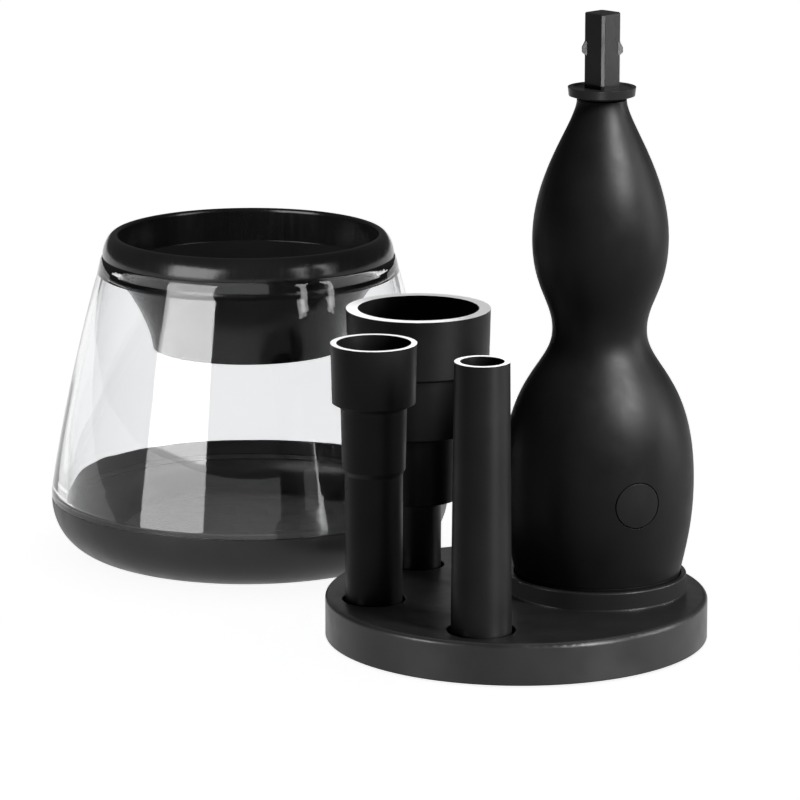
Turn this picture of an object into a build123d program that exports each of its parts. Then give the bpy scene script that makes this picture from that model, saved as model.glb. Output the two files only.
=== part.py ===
"""Electric make-up brush cleaner: a stand, a battery spinner handle, three collets and a splash bowl.

Millimetres, +Z up, the table at z = 0. The origin lies under the middle of the stand, -Y is the front.
The handle and the collets stand in the stand and lift straight out of it. The bowl stands beside it.
A brush handle is pushed into a collet, the collet onto the square spindle, and the spindle spins it.
"""

import os
from dataclasses import dataclass, field
from math import cos, radians, sin, sqrt

from build123d import *

# ---------------------------------------------------------------- clearances
SLIP = 0.3  # between pieces that lift, slide or turn out of one another
RUNNING = 0.05  # between a turning shaft and its bush
SEAM = 0.1  # the visible line between two shells

# ---------------------------------------------------------------- screws
SCREW_RADIUS = 1.25
SCREW_PILOT = 1.3  # radius of the hole that the thread bites in
SCREW_CLEARANCE = 1.5  # radius of the hole that the shank passes through
SCREW_HEAD = 2.3
SCREW_HEAD_HEIGHT = 1.1
SCREW_WELL = 2.6  # radius of the well round a head
SCREW_CROSS = 2.6
SMALL_SCREW_RADIUS = 0.75
SMALL_SCREW_PILOT = 0.8
SMALL_SCREW_CLEARANCE = 0.9
SMALL_SCREW_HEAD = 1.6
SMALL_SCREW_CROSS = 1.8

# ---------------------------------------------------------------- stand
STAND_RADIUS = 61.5
STAND_HEIGHT = 14.0  # table to the top face
STAND_WALL = 2.5
STAND_EDGE = 1.5  # round along the rim of the top face
SHADOW_GAP = 0.6  # the shell's lower rim above the table
COVER_RISE = 0.4  # the cover's underside above the shell's lower rim
COVER_THICKNESS = 2.0
COVER_HEIGHT = SHADOW_GAP + COVER_RISE  # underside of the cover above the table
COVER_TOP = COVER_HEIGHT + COVER_THICKNESS
STAND_FOOT_RADIUS = 46.0
STAND_FOOT_WIDTH = 6.0
STAND_FOOT_SUNK = 1.0  # depth of the groove that the rubber ring is glued in
BALLAST_RADIUS = 30.0
BALLAST_THICKNESS = 3.0
CLAMP_RIB_RADIUS = 26.0
CLAMP_RIB_WIDTH = 2.0
COVER_SCREW_CIRCLE = STAND_RADIUS - 8.5
COVER_SCREW_COUNT = 3
COVER_SCREW_START = 40.0  # degrees, clear of the pockets
COVER_BOSS_RADIUS = 3.2
COLLET_CIRCLE = STAND_RADIUS - 15.0  # radius of the circle that the collets stand on
POCKET_BOTTOM = 1.5  # thickness of a pocket's floor
POCKET_WALL = 1.5
POCKET_GAP = 1.2  # round a collet's foot
POCKET_FLOOR = COVER_TOP + POCKET_BOTTOM

# ---------------------------------------------------------------- seat of the handle
HANDLE_TURN = radians(9.3)  # where the seat lies, counted from +X
HANDLE_OUT = STAND_RADIUS - 34.95
HANDLE_X = HANDLE_OUT * cos(HANDLE_TURN)
HANDLE_Y = HANDLE_OUT * sin(HANDLE_TURN)
SEAT_RISE = 1.0  # seat floor above the stand's top face
SEAT_WALL_HEIGHT = 6.0
SEAT_WALL = 1.7
SEAT_GAP = 0.46  # round the handle, at the seat's mouth
SEAT_EDGE = 0.6
SEAT_FLOOR = STAND_HEIGHT + SEAT_RISE

# ---------------------------------------------------------------- handle outline, heights above its seat
BUTTON_TURN = 22.0  # degrees that the button faces to the right of the front
BASE_RADIUS = 25.5
LOWER_BULB_RADIUS = 30.7
BASE_FLARE = 0.2 * (LOWER_BULB_RADIUS - BASE_RADIUS)  # how much the seat's mouth is wider than the foot
LOWER_BULB_HEIGHT = 35.0
WAIST_RADIUS = 15.1
WAIST_HEIGHT = 84.5
UPPER_BULB_RADIUS = 21.7
UPPER_BULB_HEIGHT = 114.0
NECK_RADIUS = 7.9
NECK_HEIGHT = 158.6
SHELL_WALL = 2.2
CAP_HEIGHT = 6.0  # the battery cap is the lowest slice of the outline

# ---------------------------------------------------------------- handle inside
RIB = 2.0
BEARING_SEAT_HEIGHT = 144.0  # above this the neck is solid round the bush
BUSH_RADIUS = 6.0
BUSH_BOTTOM = 146.0
SEAL_THICKNESS = 4.1
HOUSING_SCREWS_LOWER = (22.5, 28.0)  # distance from the axis, height
HOUSING_SCREWS_UPPER = (16.2, 112.0)
HOUSING_BOSS_RADIUS = 2.8
HOUSING_SCREW_SEAT = 6.0  # screw seat behind the seam
HOUSING_SCREW_LENGTH = 12.0

# battery bay
CELL_RADIUS = 5.25
CELL_LENGTH = 44.5
CELL_NUB_RADIUS = 1.9
CELL_NUB_HEIGHT = 0.9
CELL_SPACING = 2 * CELL_RADIUS + 1.0
CELL_BOTTOM = 6.5
CELL_TOP = CELL_BOTTOM + CELL_LENGTH
TRAY_GAP = 0.4
TRAY_WALL = 1.2
TRAY_BOTTOM = CELL_BOTTOM + 1.0
TRAY_TOP = CELL_TOP + 3.0
TRAY_LID = 2.0
TRAY_FLANGE_RADIUS = 18.0
TRAY_RIB_BORE = 15.0
WIRE_NOTCH = 5.0

# battery cap
CAP_FLOOR = 2.2
SPIGOT_RADIUS = 22.4
SPIGOT_WALL = 2.0
SPIGOT_HEIGHT = 11.3
LUG_REACH = 1.5
LUG_WIDTH = 16.0
LUG_THICKNESS = 2.0
LEDGE_WIDTH = 19.0
LEDGE_BOTTOM = 7.1
LEDGE_THICKNESS = 1.9
CONTACT_RADIUS = 13.5
CONTACT_THICKNESS = 0.4

# button and switch
BUTTON_HEIGHT = 33.5
BUTTON_RADIUS = 7.2
BUTTON_GAP = 0.35
BUTTON_TRAVEL = 1.0
BUTTON_FLANGE_RADIUS = 8.7
BUTTON_FLANGE_THICKNESS = 1.0
BOARD_WIDTH = 16.0
BOARD_HEIGHT = 30.0
BOARD_THICKNESS = 1.2
BOARD_FRONT = 14.0  # front face of the board, ahead of the axis
BOARD_SCREW_SPACING = 25.0
BOARD_POST_RADIUS = 2.2
BOARD_SCREW_LENGTH = 5.0
SWITCH_WIDTH = 6.2
SWITCH_THICKNESS = 3.5
PLUNGER_RADIUS = 1.7
PLUNGER_PROUD = 2.5

# motor
MOTOR_RADIUS = 12.0
MOTOR_BOTTOM = 104.0
MOTOR_TOP = 132.0
END_CAP_HEIGHT = 4.0
CAN_WALL = 0.9
CAN_BOSS_RADIUS = 3.2
CAN_BOSS_HEIGHT = 2.5
MOTOR_SHAFT_RADIUS = 1.0
MAGNET_THICKNESS = 1.6
AIR_GAP = 1.0  # between the magnets and the armature
ARMATURE_RADIUS = MOTOR_RADIUS - CAN_WALL - MAGNET_THICKNESS - AIR_GAP
ARMATURE_HEIGHT = 14.0
COMMUTATOR_RADIUS = 2.8
TERMINAL_SPACING = 2 * (MOTOR_RADIUS - 4.0)
WIRE_RADIUS = 0.65

# ---------------------------------------------------------------- spindle
SPINDLE_GAP = 0.4  # between the neck and the flange
FLANGE_RADIUS = 10.8
FLANGE_THICKNESS = 3.6
STEM_RADIUS = 3.5
STEM_BOTTOM = 142.0
COUPLING_DEPTH = 8.5  # motor shaft's grip in the stem
DRIVE_ACROSS = 11.0  # square shaft, over its cut corners
DRIVE_CORNER = 0.8
DRIVE_LENGTH = 23.6
DETENT_HEIGHT = 10.2  # lower end of the detents above the flange
DETENT_LENGTH = 4.2
DETENT_REACH = 0.95
DETENT_WIDTH = 2.4

# ---------------------------------------------------------------- collets
STEP_CONE = 1.6  # height of the short cone under a cup
CUP_TAPER = 0.5  # how much slimmer a cup is at its lower end
BORE_STEP = 3.0  # a cup's bore ends this far above its outer step
SOCKET_DEPTH = 24.4
SOCKET_GAP = 0.1
SOCKET_WEB = 2.5


@dataclass
class Cup:
    """One cup of a stepped collet: outer radius, bore radius and height."""

    radius: float
    bore: float
    height: float


@dataclass
class Collet:
    """A collet: its place round the stand, the height of its rim, its cups from the rim down, its stem."""

    angle: float
    rim_height: float
    stem_top_radius: float
    foot_radius: float
    stem_bore: float
    cups: list = field(default_factory=list)

    def floor(self):
        """The plane of the pocket floor under this collet."""
        turn = radians(self.angle)
        return Plane((COLLET_CIRCLE * cos(turn), COLLET_CIRCLE * sin(turn), POCKET_FLOOR))

    def length(self):
        return self.rim_height - POCKET_FLOOR

    def cup_bottoms(self):
        """Height of each cup's lower end above the pocket floor, from the rim down."""
        bottoms = []
        level = self.length()
        for cup in self.cups:
            level -= cup.height
            bottoms.append(level)
        return bottoms


LARGE = Collet(
    132.5,
    100.1,
    7.6,
    7.4,
    5.4,
    [Cup(23.6, 19.8, 21.0), Cup(18.4, 15.4, 21.0), Cup(13.2, 10.6, 23.0)],
)
MEDIUM = Collet(190.5, 97.8, 9.3, 9.0, 6.6, [Cup(13.8, 11.9, 20.8), Cup(10.6, 8.6, 21.6)])
SMALL = Collet(255.0, 99.9, 8.7, 9.7, 6.9)
COLLETS = (LARGE, MEDIUM, SMALL)

# ---------------------------------------------------------------- bowl, heights above the table
BOWL_RADIUS = 68.2
BOWL_GAP = 11.8  # between the stand and the bowl
BOWL_TURN = radians(129.0)  # where the bowl stands, counted from +X
BOWL_OUT = STAND_RADIUS + BOWL_GAP + BOWL_RADIUS
BOWL_X = BOWL_OUT * cos(BOWL_TURN)
BOWL_Y = BOWL_OUT * sin(BOWL_TURN)
BOWL_FOOT_RADIUS = 49.0  # where the base's side meets its flat bottom
BOWL_LIFT = 0.6  # the base's bottom above the table
JOINT_HEIGHT = 20.0  # the line between the base and the clear wall
JOINT_WIDTH = 2.0  # rim of the base outside the wall's tongue
TONGUE_WIDTH = 2.0
TONGUE_DEPTH = 5.0
GASKET_HEIGHT = 1.5
LEDGE_WIDTH_INSIDE = 3.7  # the ledge under the gasket
FLOOR_RADIUS = 46.0
FLOOR_THICKNESS = 3.2
BOWL_FLOOR = BOWL_LIFT + FLOOR_THICKNESS
MAT_RADIUS = 45.0
MAT_THICKNESS = 1.8
BOWL_FOOT_WIDTH = 6.0
BOWL_FOOT_SUNK = 1.2
WALL_TOP_HEIGHT = 103.0
WALL_SHOULDER_RADIUS = 51.4
WALL_SHOULDER_HEIGHT = 97.5
WALL_THICKNESS = 2.4
WALL_BULGE = 1.1  # how far the wall's side bows out of a straight cone
WALL_MOUTH_RADIUS = 46.8
RIM_TOP_HEIGHT = 110.4
RIM_OUTER_RADIUS = 49.6
RIM_INNER_RADIUS = 44.3
PLUG_DEPTH = 5.0
THROAT_RADIUS = 31.0
THROAT_HEIGHT = 71.6
FUNNEL_WALL = 2.0

# ---------------------------------------------------------------- frames
HANDLE_FLOOR = Plane(
    origin=(HANDLE_X, HANDLE_Y, SEAT_FLOOR),
    x_dir=(cos(radians(BUTTON_TURN)), sin(radians(BUTTON_TURN)), 0),
    z_dir=(0, 0, 1),
)
SPINDLE_FLOOR = Plane((HANDLE_X, HANDLE_Y, SEAT_FLOOR))
BOWL_TABLE = Plane((BOWL_X, BOWL_Y, 0))


def upright(floor):
    """The plane through a floor plane's vertical axis that faces its front."""
    return Plane(origin=floor.origin, x_dir=floor.x_dir, z_dir=-floor.y_dir)


def centre_line(floor):
    """The vertical axis of a floor plane."""
    return Axis(floor.origin, (0, 0, 1))


HANDLE_FRONT = upright(HANDLE_FLOOR)


# ---------------------------------------------------------------- shared shapes
def ring(floor, height, outer, inner, thickness, mode=Mode.ADD):
    """A flat ring in the active part, its underside at a height above a floor plane."""
    with BuildSketch(floor.offset(height)) as outline:
        Circle(outer)
        Circle(inner, mode=Mode.SUBTRACT)
    extrude(outline.sketch, amount=thickness, mode=mode)


def disc(floor, height, radius, thickness, mode=Mode.ADD):
    """A round disc in the active part, its underside at a height above a floor plane."""
    with BuildSketch(floor.offset(height)) as outline:
        Circle(radius)
    extrude(outline.sketch, amount=thickness, mode=mode)


def screws(seat, places, length, shank=SCREW_RADIUS, head=SCREW_HEAD, cross=SCREW_CROSS):
    """Cross-head screws in the active part: shanks along the seat plane's normal, heads behind it."""
    with BuildSketch(seat) as shanks:
        with Locations(*places):
            Circle(shank)
    extrude(shanks.sketch, amount=length)
    with BuildSketch(seat) as heads:
        with Locations(*places):
            Circle(head)
    extrude(heads.sketch, amount=-SCREW_HEAD_HEIGHT)
    with BuildSketch(seat.offset(-SCREW_HEAD_HEIGHT)) as crosses:
        with Locations(*places):
            Rectangle(cross, cross / 4)
            Rectangle(cross / 4, cross)
    extrude(crosses.sketch, amount=SCREW_HEAD_HEIGHT / 2, mode=Mode.SUBTRACT)


def holes(seat, places, radius, depth):
    """Round holes cut from the active part, along a plane's normal."""
    with BuildSketch(seat) as outline:
        with Locations(*places):
            Circle(radius)
    extrude(outline.sketch, amount=depth, mode=Mode.SUBTRACT)


def drive_square(gap):
    """The spindle's square with cut corners, its corners on the axes, grown by a gap."""
    side = DRIVE_ACROSS / sqrt(2) + DRIVE_CORNER
    square = Rectangle(side + 2 * gap, side + 2 * gap, rotation=45)
    chamfer(square.vertices(), length=DRIVE_CORNER)


def spring(floor, place, bottom, height, coil_radius, wire_radius, turns):
    """A round-wire helical spring in the active part."""
    centre = floor.from_local_coords(Vector(place[0], place[1], bottom))
    with BuildLine():
        path = Helix(pitch=height / turns, height=height, radius=coil_radius, center=centre)
    with BuildSketch(Plane(origin=path @ 0, z_dir=path % 0)) as section:
        Circle(wire_radius)
    sweep(section.sketch, path=path, is_frenet=True)


def turn_gourd(inset=0.0, mode=Mode.ADD):
    """Revolves the handle's outline, drawn in by an inset, in the active part."""
    lower_rise = WAIST_HEIGHT - LOWER_BULB_HEIGHT
    upper_rise = UPPER_BULB_HEIGHT - WAIST_HEIGHT
    neck_rise = NECK_HEIGHT - UPPER_BULB_HEIGHT
    base = BASE_RADIUS - inset
    lower = LOWER_BULB_RADIUS - inset
    waist = WAIST_RADIUS - inset
    upper = UPPER_BULB_RADIUS - inset
    neck = NECK_RADIUS - inset
    with BuildSketch(HANDLE_FRONT) as outline:
        with BuildLine():
            Bezier(
                (base, 0),
                (base + 0.35 * (lower - base), 0.27 * LOWER_BULB_HEIGHT),
                (lower, 0.55 * LOWER_BULB_HEIGHT),
                (lower, LOWER_BULB_HEIGHT),
            )
            Bezier(
                (lower, LOWER_BULB_HEIGHT),
                (lower, LOWER_BULB_HEIGHT + 0.70 * lower_rise),
                (waist, LOWER_BULB_HEIGHT + 0.75 * lower_rise),
                (waist, WAIST_HEIGHT),
            )
            Bezier(
                (waist, WAIST_HEIGHT),
                (waist, WAIST_HEIGHT + 0.32 * upper_rise),
                (upper, WAIST_HEIGHT + 0.45 * upper_rise),
                (upper, UPPER_BULB_HEIGHT),
            )
            Bezier(
                (upper, UPPER_BULB_HEIGHT),
                (upper, UPPER_BULB_HEIGHT + 0.48 * neck_rise),
                (neck, UPPER_BULB_HEIGHT + 0.84 * neck_rise),
                (neck, NECK_HEIGHT),
            )
            Polyline((neck, NECK_HEIGHT), (0, NECK_HEIGHT), (0, 0), (base, 0))
        make_face()
    revolve(outline.sketch, axis=centre_line(HANDLE_FLOOR), mode=mode)


# ---------------------------------------------------------------- stand
COVER_SCREW_STEP = 360 / COVER_SCREW_COUNT
COVER_SCREW_TURNS = [radians(COVER_SCREW_START + COVER_SCREW_STEP * i) for i in range(COVER_SCREW_COUNT)]
COVER_SCREWS = [
    (COVER_SCREW_CIRCLE * cos(turn), COVER_SCREW_CIRCLE * sin(turn)) for turn in COVER_SCREW_TURNS
]
SEAT_MOUTH_RADIUS = BASE_RADIUS + BASE_FLARE + SEAT_GAP
COVER_SCREW_SINK = 1.2
COVER_SCREW_LENGTH = 7.5

with BuildPart() as stand_top:
    disc(Plane.XY, SHADOW_GAP, STAND_RADIUS, STAND_HEIGHT - SHADOW_GAP)
    fillet(stand_top.faces().sort_by(Axis.Z)[-1].edges(), STAND_EDGE)
    disc(
        Plane.XY,
        SHADOW_GAP,
        STAND_RADIUS - STAND_WALL,
        STAND_HEIGHT - STAND_WALL - SHADOW_GAP,
        mode=Mode.SUBTRACT,
    )
    for collet in COLLETS:
        sleeve = collet.foot_radius + POCKET_GAP + POCKET_WALL
        disc(collet.floor(), -POCKET_BOTTOM, sleeve, STAND_HEIGHT - COVER_TOP)
    ring(
        Plane.XY,
        COVER_TOP + BALLAST_THICKNESS,
        CLAMP_RIB_RADIUS,
        CLAMP_RIB_RADIUS - CLAMP_RIB_WIDTH,
        STAND_HEIGHT - COVER_TOP - BALLAST_THICKNESS,
    )
    with BuildSketch(Plane.XY.offset(COVER_TOP)):
        with Locations(*COVER_SCREWS):
            Circle(COVER_BOSS_RADIUS)
    extrude(amount=STAND_HEIGHT - COVER_TOP - STAND_WALL / 2)
    disc(SPINDLE_FLOOR, -SEAT_RISE, SEAT_MOUTH_RADIUS + SEAT_WALL, SEAT_WALL_HEIGHT)
    fillet(stand_top.faces().sort_by(Axis.Z)[-1].edges(), SEAT_EDGE)
    disc(SPINDLE_FLOOR, 0, SEAT_MOUTH_RADIUS, SEAT_WALL_HEIGHT, mode=Mode.SUBTRACT)
    for collet in COLLETS:
        disc(collet.floor(), 0, collet.foot_radius + POCKET_GAP, STAND_HEIGHT, mode=Mode.SUBTRACT)
    holes(Plane.XY.offset(COVER_TOP), COVER_SCREWS, SCREW_PILOT, COVER_SCREW_LENGTH - COVER_THICKNESS + 1.0)

with BuildPart() as stand_cover:
    disc(Plane.XY, COVER_HEIGHT, STAND_RADIUS - STAND_WALL - 0.2, COVER_THICKNESS)
    ring(
        Plane.XY,
        COVER_HEIGHT,
        STAND_FOOT_RADIUS,
        STAND_FOOT_RADIUS - STAND_FOOT_WIDTH,
        STAND_FOOT_SUNK,
        mode=Mode.SUBTRACT,
    )
    holes(Plane.XY.offset(COVER_HEIGHT), COVER_SCREWS, SCREW_CLEARANCE, COVER_THICKNESS)
    holes(Plane.XY.offset(COVER_HEIGHT), COVER_SCREWS, SCREW_WELL, COVER_SCREW_SINK)

with BuildPart() as stand_foot_ring:
    ring(Plane.XY, 0, STAND_FOOT_RADIUS, STAND_FOOT_RADIUS - STAND_FOOT_WIDTH, COVER_HEIGHT + STAND_FOOT_SUNK)

with BuildPart() as stand_ballast:
    disc(Plane.XY, COVER_TOP, BALLAST_RADIUS, BALLAST_THICKNESS)
    fillet(stand_ballast.edges(), 0.4)

with BuildPart() as stand_cover_screws:
    seat = Plane.XY.offset(COVER_HEIGHT + COVER_SCREW_SINK)
    screws(seat, COVER_SCREWS, COVER_SCREW_LENGTH - COVER_SCREW_SINK)

# ---------------------------------------------------------------- handle shells
HOUSING_SCREWS = [
    (side * distance, height)
    for distance, height in (HOUSING_SCREWS_LOWER, HOUSING_SCREWS_UPPER)
    for side in (-1, 1)
]
BOARD_SCREWS = [(0, BUTTON_HEIGHT + side * BOARD_SCREW_SPACING / 2) for side in (-1, 1)]
OUTSIDE = 2 * LOWER_BULB_RADIUS  # a reach that passes through any wall of the handle
TRAY_FLANGE_TOP = TRAY_TOP + TRAY_LID
# each inner rib: its underside and the radius of the hole through it
RIBS = (
    (TRAY_TOP - RIB, TRAY_RIB_BORE),
    (TRAY_FLANGE_TOP, TRAY_RIB_BORE),
    (MOTOR_BOTTOM - RIB, MOTOR_RADIUS - 3.0),
    ((MOTOR_BOTTOM + MOTOR_TOP) / 2, MOTOR_RADIUS + 0.1),
    (MOTOR_TOP, CAN_BOSS_RADIUS + 2.0),
)

with BuildPart() as handle_cavity:
    turn_gourd(SHELL_WALL)
    ring(HANDLE_FLOOR, BEARING_SEAT_HEIGHT, OUTSIDE, BUSH_RADIUS, OUTSIDE, mode=Mode.SUBTRACT)
    disc(HANDLE_FLOOR, BEARING_SEAT_HEIGHT, BUSH_RADIUS, NECK_HEIGHT - BEARING_SEAT_HEIGHT)
    for underside, bore in RIBS:
        ring(HANDLE_FLOOR, underside, OUTSIDE, bore, RIB, mode=Mode.SUBTRACT)
    with BuildSketch(HANDLE_FRONT):
        with Locations(*HOUSING_SCREWS):
            Circle(HOUSING_BOSS_RADIUS)
    extrude(amount=OUTSIDE, both=True, mode=Mode.SUBTRACT)
    with BuildSketch(HANDLE_FRONT.offset(BOARD_FRONT)):
        with Locations(*BOARD_SCREWS):
            Circle(BOARD_POST_RADIUS)
    extrude(amount=OUTSIDE, mode=Mode.SUBTRACT)
    with BuildSketch(HANDLE_FLOOR.offset(LEDGE_BOTTOM)):
        Circle(OUTSIDE)
        Circle(SPIGOT_RADIUS + SLIP, mode=Mode.SUBTRACT)
        Rectangle(LEDGE_WIDTH, 2 * OUTSIDE, mode=Mode.INTERSECT)
    extrude(amount=LEDGE_THICKNESS, mode=Mode.SUBTRACT)


def turn_shell():
    """The whole hollow housing above the battery cap, in the active part."""
    turn_gourd()
    add(handle_cavity.part, mode=Mode.SUBTRACT)
    disc(HANDLE_FLOOR, 0, OUTSIDE, CAP_HEIGHT, mode=Mode.SUBTRACT)


with BuildPart() as handle_front_shell:
    turn_shell()
    split(bisect_by=HANDLE_FRONT.offset(SEAM / 2), keep=Keep.TOP)
    holes(HANDLE_FRONT.offset(BOARD_FRONT + 8), [(0, BUTTON_HEIGHT)], BUTTON_RADIUS + BUTTON_GAP, OUTSIDE)
    holes(HANDLE_FRONT, HOUSING_SCREWS, SCREW_PILOT, HOUSING_SCREW_LENGTH - HOUSING_SCREW_SEAT + 1.0)
    holes(HANDLE_FRONT.offset(BOARD_FRONT), BOARD_SCREWS, SMALL_SCREW_PILOT, BOARD_SCREW_LENGTH)

with BuildPart() as handle_rear_shell:
    turn_shell()
    split(bisect_by=HANDLE_FRONT.offset(-SEAM / 2), keep=Keep.BOTTOM)
    holes(HANDLE_FRONT.offset(-HOUSING_SCREW_SEAT), HOUSING_SCREWS, SCREW_CLEARANCE, HOUSING_SCREW_SEAT)
    holes(HANDLE_FRONT.offset(-HOUSING_SCREW_SEAT - OUTSIDE), HOUSING_SCREWS, SCREW_WELL, OUTSIDE)

with BuildPart() as housing_screws:
    screws(HANDLE_FRONT.offset(-HOUSING_SCREW_SEAT), HOUSING_SCREWS, HOUSING_SCREW_LENGTH)

# ---------------------------------------------------------------- battery bay
CELL_PLACES = [(-CELL_SPACING / 2, 0), (CELL_SPACING / 2, 0)]
TRAY_INNER = 2 * (CELL_RADIUS + TRAY_GAP)

with BuildPart() as battery_tray:
    with BuildSketch(HANDLE_FLOOR.offset(TRAY_BOTTOM)):
        SlotCenterToCenter(CELL_SPACING, TRAY_INNER + 2 * TRAY_WALL)
        SlotCenterToCenter(CELL_SPACING, TRAY_INNER, mode=Mode.SUBTRACT)
    extrude(amount=TRAY_TOP - TRAY_BOTTOM)
    with BuildSketch(HANDLE_FLOOR.offset(TRAY_TOP)):
        Circle(TRAY_FLANGE_RADIUS)
        with Locations((0, -TRAY_FLANGE_RADIUS + WIRE_NOTCH)):
            Rectangle(WIRE_NOTCH, 2 * WIRE_NOTCH, mode=Mode.SUBTRACT)
        with Locations(*CELL_PLACES):
            Circle(0.9, mode=Mode.SUBTRACT)
    extrude(amount=TRAY_LID)

with BuildPart() as battery_cells:
    for side, nub_end in ((-1, CELL_BOTTOM), (1, CELL_TOP - CELL_NUB_HEIGHT)):
        can_bottom = CELL_BOTTOM + (CELL_NUB_HEIGHT if side < 0 else 0)
        with BuildSketch(HANDLE_FLOOR.offset(can_bottom)):
            with Locations((side * CELL_SPACING / 2, 0)):
                Circle(CELL_RADIUS)
        extrude(amount=CELL_LENGTH - CELL_NUB_HEIGHT)
        with BuildSketch(HANDLE_FLOOR.offset(nub_end)):
            with Locations((side * CELL_SPACING / 2, 0)):
                Circle(CELL_NUB_RADIUS)
        extrude(amount=CELL_NUB_HEIGHT)


def rivet(place, bottom, pad_thickness):
    """A contact's rivet in the active part: a pad in the bay, a stem through its lid and a solder tag."""
    for radius, height, thickness in (
        (3.2, bottom, pad_thickness),
        (0.8, bottom, TRAY_FLANGE_TOP + 1.0 - bottom),
    ):
        with BuildSketch(HANDLE_FLOOR.offset(height)) as round_part:
            with Locations(place):
                Circle(radius)
        extrude(round_part.sketch, amount=thickness)
    with BuildSketch(HANDLE_FLOOR.offset(TRAY_FLANGE_TOP + 1.0)) as tag:
        with Locations(place):
            Rectangle(3.0, 1.6)
    extrude(tag.sketch, amount=0.5)


CONTACT_REACH = 0.1  # left between a contact and its cell

with BuildPart() as positive_contact:
    rivet(CELL_PLACES[1], CELL_TOP + CONTACT_REACH, 0.5)

with BuildPart() as negative_contact:
    rivet(CELL_PLACES[0], TRAY_TOP - 0.6, 0.6)
    spring(HANDLE_FLOOR, CELL_PLACES[0], CELL_TOP + CONTACT_REACH + 0.3, 2.3, 2.6, 0.3, 2.0)

# ---------------------------------------------------------------- battery cap
with BuildPart() as battery_cap:
    turn_gourd()
    split(bisect_by=HANDLE_FLOOR.offset(CAP_HEIGHT - 2 * SEAM), keep=Keep.BOTTOM)
    disc(HANDLE_FLOOR, CAP_FLOOR, SPIGOT_RADIUS, SPIGOT_HEIGHT - CAP_FLOOR)
    with BuildSketch(HANDLE_FLOOR.offset(SPIGOT_HEIGHT - LUG_THICKNESS)):
        Circle(SPIGOT_RADIUS + LUG_REACH)
        Rectangle(LUG_WIDTH, 2 * OUTSIDE, mode=Mode.INTERSECT)
    extrude(amount=LUG_THICKNESS)
    disc(HANDLE_FLOOR, CAP_FLOOR, SPIGOT_RADIUS - SPIGOT_WALL, OUTSIDE, mode=Mode.SUBTRACT)
    with BuildSketch(HANDLE_FLOOR):
        SlotOverall(16, 2.4)
    extrude(amount=1.0, mode=Mode.SUBTRACT)

with BuildPart() as cap_seal:
    ring(HANDLE_FLOOR, CAP_HEIGHT - 2 * SEAM, SPIGOT_RADIUS + 1.4, SPIGOT_RADIUS, 1.0)

with BuildPart() as cap_contact:
    disc(HANDLE_FLOOR, CAP_FLOOR, CONTACT_RADIUS, CONTACT_THICKNESS)
    with BuildSketch(HANDLE_FLOOR.offset(CAP_FLOOR)):
        with Locations(CELL_PLACES[0]):
            Circle(2.4)
    extrude(amount=CELL_BOTTOM - CONTACT_REACH - CAP_FLOOR)

with BuildPart() as cap_spring:
    spring_bottom = CAP_FLOOR + CONTACT_THICKNESS + 0.35
    spring(HANDLE_FLOOR, CELL_PLACES[1], spring_bottom, CELL_BOTTOM - 0.5 - spring_bottom, 3.0, 0.3, 3.0)

# ---------------------------------------------------------------- button and switch
BUTTON_FLANGE_FRONT = (
    sqrt((LOWER_BULB_RADIUS - SHELL_WALL) ** 2 - BUTTON_FLANGE_RADIUS**2) - SLIP - 0.1
)
SWITCH_FRONT = BOARD_FRONT + SWITCH_THICKNESS
PLUNGER_TIP = SWITCH_FRONT + PLUNGER_PROUD

with BuildPart() as power_button:
    button_back = BUTTON_FLANGE_FRONT - BUTTON_FLANGE_THICKNESS
    with BuildSketch(HANDLE_FRONT.offset(button_back)):
        with Locations((0, BUTTON_HEIGHT)):
            Circle(BUTTON_RADIUS)
    extrude(amount=OUTSIDE)
    turn_gourd(mode=Mode.INTERSECT)
    with BuildSketch(HANDLE_FRONT.offset(button_back)):
        with Locations((0, BUTTON_HEIGHT)):
            Circle(BUTTON_FLANGE_RADIUS)
    extrude(amount=BUTTON_FLANGE_THICKNESS)
    with BuildSketch(HANDLE_FRONT.offset(PLUNGER_TIP)):
        with Locations((0, BUTTON_HEIGHT)):
            Circle(2.2)
    extrude(amount=button_back - PLUNGER_TIP)

with BuildPart() as switch_plunger:
    with BuildSketch(HANDLE_FRONT.offset(SWITCH_FRONT - BUTTON_TRAVEL)):
        with Locations((0, BUTTON_HEIGHT)):
            Circle(PLUNGER_RADIUS)
    extrude(amount=PLUNGER_PROUD + BUTTON_TRAVEL)

with BuildPart() as tact_switch:
    with BuildSketch(HANDLE_FRONT.offset(BOARD_FRONT)):
        with Locations((0, BUTTON_HEIGHT)):
            Rectangle(SWITCH_WIDTH, SWITCH_WIDTH)
    extrude(amount=SWITCH_THICKNESS)
    holes(
        HANDLE_FRONT.offset(SWITCH_FRONT - 2 * BUTTON_TRAVEL - 0.1),
        [(0, BUTTON_HEIGHT)],
        PLUNGER_RADIUS + RUNNING,
        OUTSIDE,
    )

with BuildPart() as switch_board:
    with BuildSketch(HANDLE_FRONT.offset(BOARD_FRONT - BOARD_THICKNESS)):
        with Locations((0, BUTTON_HEIGHT)):
            Rectangle(BOARD_WIDTH, BOARD_HEIGHT)
    extrude(amount=BOARD_THICKNESS)
    board_back = HANDLE_FRONT.offset(BOARD_FRONT - BOARD_THICKNESS)
    holes(board_back, BOARD_SCREWS, SMALL_SCREW_CLEARANCE, BOARD_THICKNESS)

with BuildPart() as board_screws:
    screws(
        board_back,
        BOARD_SCREWS,
        BOARD_SCREW_LENGTH,
        shank=SMALL_SCREW_RADIUS,
        head=SMALL_SCREW_HEAD,
        cross=SMALL_SCREW_CROSS,
    )

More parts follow.
